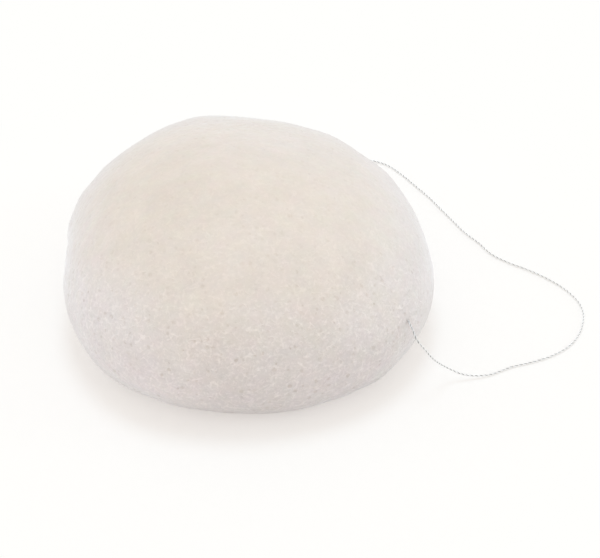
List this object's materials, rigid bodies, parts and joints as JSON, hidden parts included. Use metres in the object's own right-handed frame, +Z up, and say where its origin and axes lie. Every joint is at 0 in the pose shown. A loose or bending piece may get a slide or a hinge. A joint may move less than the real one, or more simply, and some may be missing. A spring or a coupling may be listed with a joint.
{
  "type": "konjac sponge",
  "caption": "Soft foam half-ball for washing the face, flat underneath, with a thin twisted string threaded through its side as a hanging loop.",
  "frame": {"origin": "under the middle of the sponge, on the surface that it stands on", "axes": "+Z up, -Y towards the viewer of the front, +X towards the side where the string loop lies"},
  "size_m": [0.1134, 0.0944, 0.0395],
  "materials": {
    "foam": "matte fine-pored foam",
    "string": "matte twisted thread"
  },
  "bodies": {
    "sponge": {"sponge_body": "foam"},
    "loop": {"string_loop": "string", "front_run": "string", "rear_run": "string", "joining_knot": "string"}
  },
  "joints": [
    {"name": "loop_swing", "type": "hinge", "parent": "sponge", "child": "loop", "pos_m": [0.0256, 0.00686, 0.0155], "axis": [0.2588, -0.9659, 0], "range_deg": [0, 155]}
  ]
}
